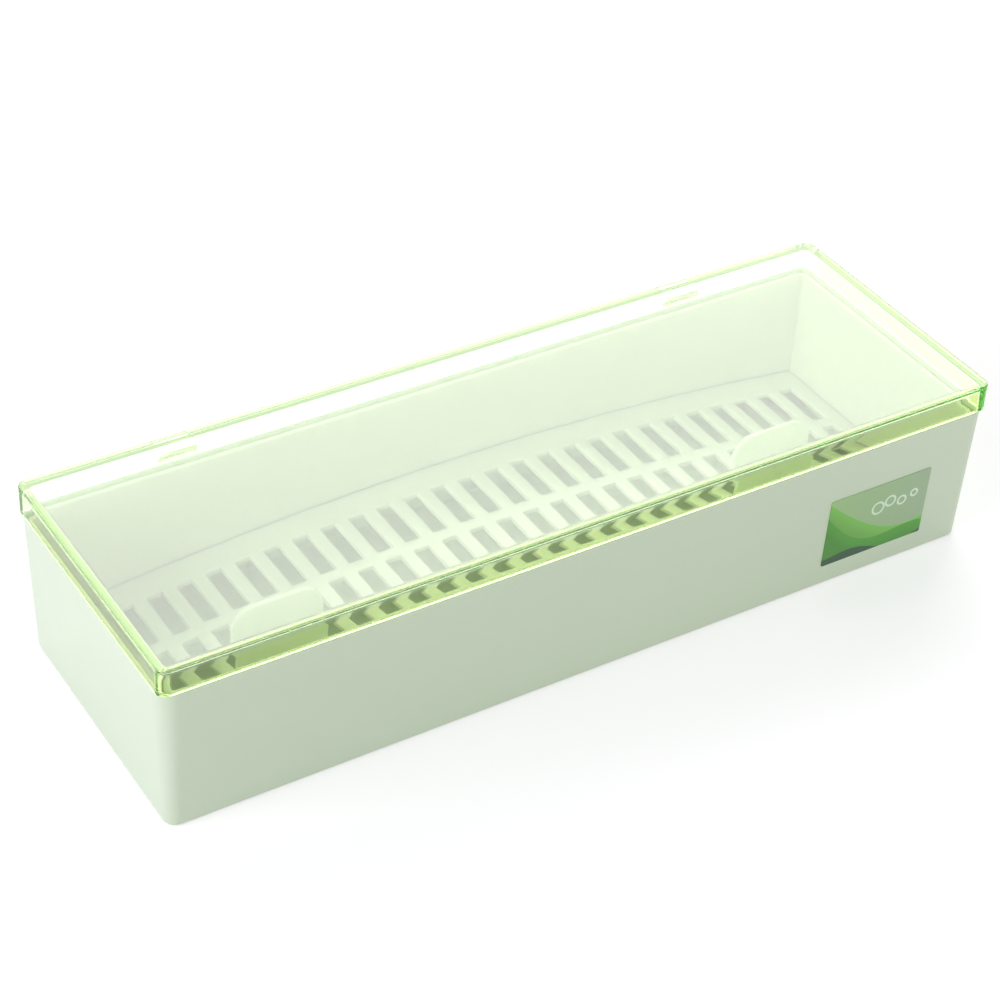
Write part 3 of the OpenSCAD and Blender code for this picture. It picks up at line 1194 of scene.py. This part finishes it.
@dataclass
class FlipLid:
    """The clear lid: plate, skirt, inner fillet and two knuckles."""

    sizes: Sizes
    finish: bpy.types.Material
    height: float = 9.5
    plate: float = 2.5
    skirt: float = 2.8
    corner: float = 3.2
    top_edge: float = 0.6
    low_edge: float = 0.25
    fillet: float = 0.6
    inner_corner: float = 1.6
    crown: tuple[tuple[float, float], ...] = ((0.0, 2.1), (4.5, 4.0), (6.3, -2.0))
    knuckle_r: float = 3.6
    bore_slack: float = 0.05
    wall_gap: float = 0.6
    arm_t: float = 2.7
    arm_rise: float = 2.8
    arm_slope: float = 3.4
    barrel_dip: float = 2.0
    heel_r: float = 4.5
    heel_w: float = 2.4
    heel_turn: float = 10.0

    def build(self) -> bpy.types.Object:
        """Builds the lid and puts it on the frame."""
        lid = self.shell()
        for side in (-1, 1):
            cut(lid, self.knuckle(side * self.sizes.hinge_x), "UNION")
        for side in (-1, 1):
            cut(lid, self.bore(side * self.sizes.hinge_x), "DIFFERENCE")
        lid.name = "lid_shell"
        dress(lid, self.finish)
        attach(lid, Body.LID.value)
        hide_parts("lid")
        return lid

    @property
    def low_z(self) -> float:
        """Height of the lid's lower edge."""
        return self.sizes.lid_top - self.height

    def slope(self, rise: float) -> float:
        """How fast the skirt's inner face moves in, at a height above the lid's lower edge."""
        low, high = self.crown[0], self.crown[-1]
        for first, second in zip(self.crown, self.crown[1:]):
            if first[0] <= rise <= second[0]:
                low, high = first, second
        share = min(max((rise - low[0]) / (high[0] - low[0]), 0.0), 1.0)
        return math.tan(math.radians(low[1] + share * (high[1] - low[1])))

    def inner_face(self, top_z: float, steps: int = 30) -> list[Station]:
        """Returns the crowned inner face of the skirt, from top_z down to the lower edge.

        Args:
            top_z: Where the face runs into the fillet under the plate.
            steps: Number of bands on the way down.

        Returns:
            The stations. The face bulges, so what shows through the skirt is bent.
        """
        bottom_z = self.low_z + self.low_edge
        drop_z = (top_z - bottom_z) / steps
        levels = [Station(self.skirt, top_z, self.inner_corner)]
        for i in range(1, steps + 1):
            z = top_z - i * drop_z
            inset = levels[-1].inset - self.slope(z + drop_z / 2 - self.low_z) * drop_z
            levels.append(Station(inset, z, self.inner_corner))
        return levels

    def shell(self) -> bpy.types.Object:
        """Lofts the lid from its underside, down the inside of the skirt and up to its top."""
        top = self.sizes.lid_top
        under = top - self.plate
        flat = self.fillet + SLIVER
        levels = [Station(self.skirt + flat, under, self.inner_corner - flat)]
        for below, grow in rounding(self.fillet, 8):
            levels.append(Station(self.skirt + grow, under - below, self.inner_corner - grow))
        levels += self.inner_face(under - self.fillet)[1:]
        foot = levels[-1].inset
        for back, above in rounding(self.low_edge, 4):
            levels.append(Station(foot - back, self.low_z + above, self.inner_corner))
        for above, inset in rounding(self.low_edge, 4):
            levels.append(Station(inset, self.low_z + above, self.corner))
        levels.append(Station(0.0, self.low_z + self.low_edge + 0.8 * SLIVER, self.corner))
        levels.append(Station(0.0, top - self.top_edge - 0.8 * SLIVER, self.corner))
        for inset, below in rounding(self.top_edge, 12):
            levels.append(Station(inset, top - below, self.corner - inset))
        flat = self.top_edge + SLIVER
        levels.append(Station(flat, top, self.corner - flat))
        loop = Loop(self.sizes.lid_half_x, self.sizes.lid_half_y, steps=16)
        return loft("lid_shell", [loop.points(level) for level in levels])

    def knuckle(self, x: float) -> bpy.types.Object:
        """Builds one knuckle: arm, barrel and stop heel in a single profile.

        Args:
            x: Where its middle lies along the box.

        Returns:
            The closed knuckle.
        """
        s = self.sizes
        front = s.lid_half_y + self.wall_gap - s.pin_y
        rear = front + self.arm_t
        low = self.low_z + self.low_edge - s.pin_z
        top = self.low_z + self.arm_rise - s.pin_z
        inside = s.lid_half_y - self.skirt / 2 - s.pin_y
        turn = math.radians(self.heel_turn)

        def heel(a: float, b: float) -> tuple[float, float]:
            """Turns a point of the heel with it."""
            return a * math.cos(turn) - b * math.sin(turn), a * math.sin(turn) + b * math.cos(turn)

        reach = -math.sqrt(self.knuckle_r ** 2 - self.heel_w ** 2)
        rear_angle = math.degrees(math.acos(rear / self.knuckle_r))
        heel_out = math.degrees(math.atan2(*reversed(heel(self.heel_w, reach))))
        heel_in = self.heel_turn - 90
        front_angle = math.degrees(math.atan2(self.barrel_dip, front)) - 360
        outline = circle(0, 0, self.knuckle_r, rear_angle, heel_out, 28)
        outline += [heel(self.heel_w, -self.heel_r), heel(0.0, -self.heel_r)]
        outline += circle(0, 0, self.knuckle_r, heel_in, front_angle, 24)
        outline += [(front, self.barrel_dip), (front, low), (inside, low), (inside, top)]
        outline += [(s.lid_half_y - s.pin_y, top), (rear, top - self.arm_slope)]

        def beside(y: float, z: float, width: float) -> Point:
            """Places the profile on the hinge axis."""
            return x + width, s.pin_y + y, s.pin_z + z

        return prism("knuckle", outline, -s.knuckle_w / 2, s.knuckle_w / 2, beside, 0.25)

    def bore(self, x: float) -> bpy.types.Object:
        """Builds the cutter for one knuckle's bore."""
        s = self.sizes
        outline = whole_circle(s.pin_y, s.pin_z, s.pin_r + self.bore_slack)
        return prism("bore", outline, x - s.knuckle_w, x + s.knuckle_w, across)


@dataclass
class HingePins:
    """The two headed wire pins."""

    sizes: Sizes
    finish: bpy.types.Material
    head_r: float = 2.1
    head_t: float = 0.8
    head_edge: float = 0.1
    head_dome: float = 0.9
    chamfer: float = 0.3

    def build(self, node: str, side: int) -> bpy.types.Object:
        """Turns one pin and puts it on the frame.

        Args:
            node: The frame's node that it stands for.
            side: -1 for the left hinge and 1 for the right one.

        Returns:
            The pin.
        """
        s = self.sizes
        reach = s.lug_x + s.lug_t / 2
        profile = [(-reach, 0.0), (-reach, s.pin_r - self.chamfer), (-reach + self.chamfer, s.pin_r)]
        edge = self.head_edge
        profile += [(reach, s.pin_r), (reach, self.head_r - edge), (reach + edge, self.head_r)]
        for a in quarter(6):
            out = (self.head_t - edge) * math.sin(a)
            profile.append((reach + edge + out, self.head_r - self.head_dome * (1 - math.cos(a))))
        profile += [(reach + self.head_t, 0.0)]
        rings = []
        for along, radius in profile:
            x = side * (s.hinge_x + along)
            r = max(radius, 0.001)
            rings.append([(x, s.pin_y + a, s.pin_z + b) for a, b in whole_circle(0, 0, r)])
        pin = loft(node + "_turned", rings)
        dress(pin, self.finish)
        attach(pin, Body.BASE.value)
        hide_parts(node)
        return pin


@dataclass(frozen=True)
class Softbox:
    """A large soft lamp, with its place and size in metres and its power in watts."""

    name: str
    place: Point
    aim: Point
    size: tuple[float, float]
    power: float
    colour: tuple[float, float, float] = (1.0, 1.0, 1.0)
    mirrored: bool = True

    def hang(self) -> None:
        """Hangs the lamp and turns it to its aim. One that isn't mirrored leaves no edge in the lid."""
        data = bpy.data.lights.new(self.name, "AREA")
        data.shape = "RECTANGLE"
        data.size, data.size_y = self.size
        data.energy = self.power
        data.color = self.colour
        lamp = bpy.data.objects.new(self.name, data)
        lamp.location = self.place
        lamp.visible_glossy = self.mirrored
        lamp.rotation_euler = (Vector(self.aim) - Vector(self.place)).to_track_quat("-Z", "Y").to_euler()
        bpy.context.scene.collection.objects.link(lamp)


@dataclass
class Studio:
    """Pale floor, soft lamps and a camera at the photograph's angle. Its lengths are in metres."""

    floor_half: float = 6.0
    floor_tone: float = 0.80
    floor_lift: float = 0.4
    far: float = 0.9
    far_lift: float = 0.4
    ambient: float = 0.4
    bounces: int = 32
    camera_place: Point = (-0.35652, -0.52837, 0.51998)
    camera_turn: Point = (52.593, -2.593, -31.513)
    lens: float = 93.674
    lamps: tuple[Softbox, ...] = (
        Softbox("key_left", (-1.15, -0.1, 0.55), (0.0, 0.0, 0.03), (0.9, 0.8), 8.8, (1.04, 1.0, 1.12)),
        Softbox("veil_rear", (0.58, 0.86, 0.81), (0.0, 0.0, 0.06), (1.1, 0.66), 7.2),
        Softbox("front_fill", (0.6, -1.5, 0.5), (0.05, 0.0, 0.03), (1.2, 0.8), 5.4, mirrored=False),
    )

    def build(self) -> None:
        """Sets up the floor, the surroundings, the lamps and the camera."""
        scene = bpy.context.scene
        scene.view_settings.view_transform = "Standard"
        scene.cycles.max_bounces = self.bounces
        scene.cycles.transmission_bounces = self.bounces
        scene.cycles.glossy_bounces = self.bounces
        self.lay_floor()
        self.surround()
        for lamp in self.lamps:
            lamp.hang()
        data = bpy.data.cameras.new("photo_camera")
        data.lens = self.lens
        data.sensor_width = 36.0
        data.clip_end = 50.0
        camera = bpy.data.objects.new("photo_camera", data)
        camera.location = self.camera_place
        camera.rotation_euler = tuple(math.radians(a) for a in self.camera_turn)
        scene.collection.objects.link(camera)
        scene.camera = camera

    def seen_plainly(self, graph: Graph) -> Sock:
        """Returns 1 for rays that show the ground to the camera, straight, mirrored or through the lid."""
        path = graph.node("ShaderNodeLightPath", out="Is Camera Ray")
        mirrored = graph.math("MAXIMUM", path, path.twin("Is Glossy Ray"))
        return graph.math("MAXIMUM", mirrored, path.twin("Is Transmission Ray"))

    def lay_floor(self) -> None:
        """Lays a pale floor that keeps the shadow and is white elsewhere."""
        h = self.floor_half / MM
        floor = to_mesh("floor", [(-h, -h, 0), (h, -h, 0), (h, h, 0), (-h, h, 0)], [(0, 1, 2, 3)])
        floor.data.transform(Matrix.Translation((0, 0, -0.0001)))
        material, graph = new_material("pale_floor")
        tone = self.floor_tone
        grain = graph.noise(3.0, 2.0)
        colour = graph.blend(grain, (tone, tone, tone, 1.0), (tone * 1.01, tone * 1.01, tone * 1.01, 1.0))
        matt = graph.node("ShaderNodeBsdfDiffuse", {"Color": colour})
        flat = graph.node("ShaderNodeSeparateXYZ", {0: graph.place()})
        away = graph.math("SQRT", flat * flat + flat.twin("Y") * flat.twin("Y"))
        lifted = graph.step(away, self.far, self.far) * self.far_lift + self.floor_lift
        lift = graph.node("ShaderNodeEmission", {"Strength": self.seen_plainly(graph) * lifted})
        surface = graph.node("ShaderNodeAddShader", {0: matt, 1: lift})
        graph.node("ShaderNodeOutputMaterial", {"Surface": surface})
        dress(floor, material)

    def surround(self) -> None:
        """Surrounds the scene with plain white."""
        world = bpy.data.worlds.new("studio")
        bpy.context.scene.world = world
        world.use_nodes = True
        world.node_tree.nodes.clear()
        graph = Graph(world.node_tree)
        strength = self.seen_plainly(graph) * (1.0 - self.ambient) + self.ambient
        sky = graph.node("ShaderNodeBackground", {"Color": (1.0, 1.0, 1.0, 1.0), "Strength": strength})
        graph.node("ShaderNodeOutputWorld", {"Surface": sky})


def dress_label() -> bpy.types.Object:
    """Gives the frame's label its print."""
    low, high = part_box("label")
    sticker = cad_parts["label"]
    dress(sticker, PrintedSticker((low + high) / 2, high - low).material())
    return sticker


def main() -> None:
    """Builds the studio and every sub-assembly, and reports each piece."""
    logging.basicConfig(level=logging.INFO, format="%(message)s")
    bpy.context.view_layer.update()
    Studio().build()
    sizes = Sizes()
    rows = row_tree()
    mint = MouldedPlastic("mint_moulding", shade(216, 231, 205)).material()
    pale = MouldedPlastic(
        "pale_moulding", shade(232, 240, 226), gloss=0.3, glow=0.8, grain=0.02, sink=0.005,
    ).material()
    green = ClearPlastic("clear_green", (0.62, 0.96, 0.0, 1.0), 60.0).material()
    steel = DrawnSteel().material()
    pins = HingePins(sizes, steel)
    pieces = [
        OuterBox(sizes, mint, rows).build(),
        DrainBasket(sizes, pale, rows, drum_tree()).build(),
        FlipLid(sizes, green).build(),
        pins.build("hinge_pin_left", -1),
        pins.build("hinge_pin_right", 1),
        dress_label(),
    ]
    for piece in pieces:
        log.info("%s: %d faces", piece.name, len(piece.data.polygons))


if __name__ == "__main__":
    main()
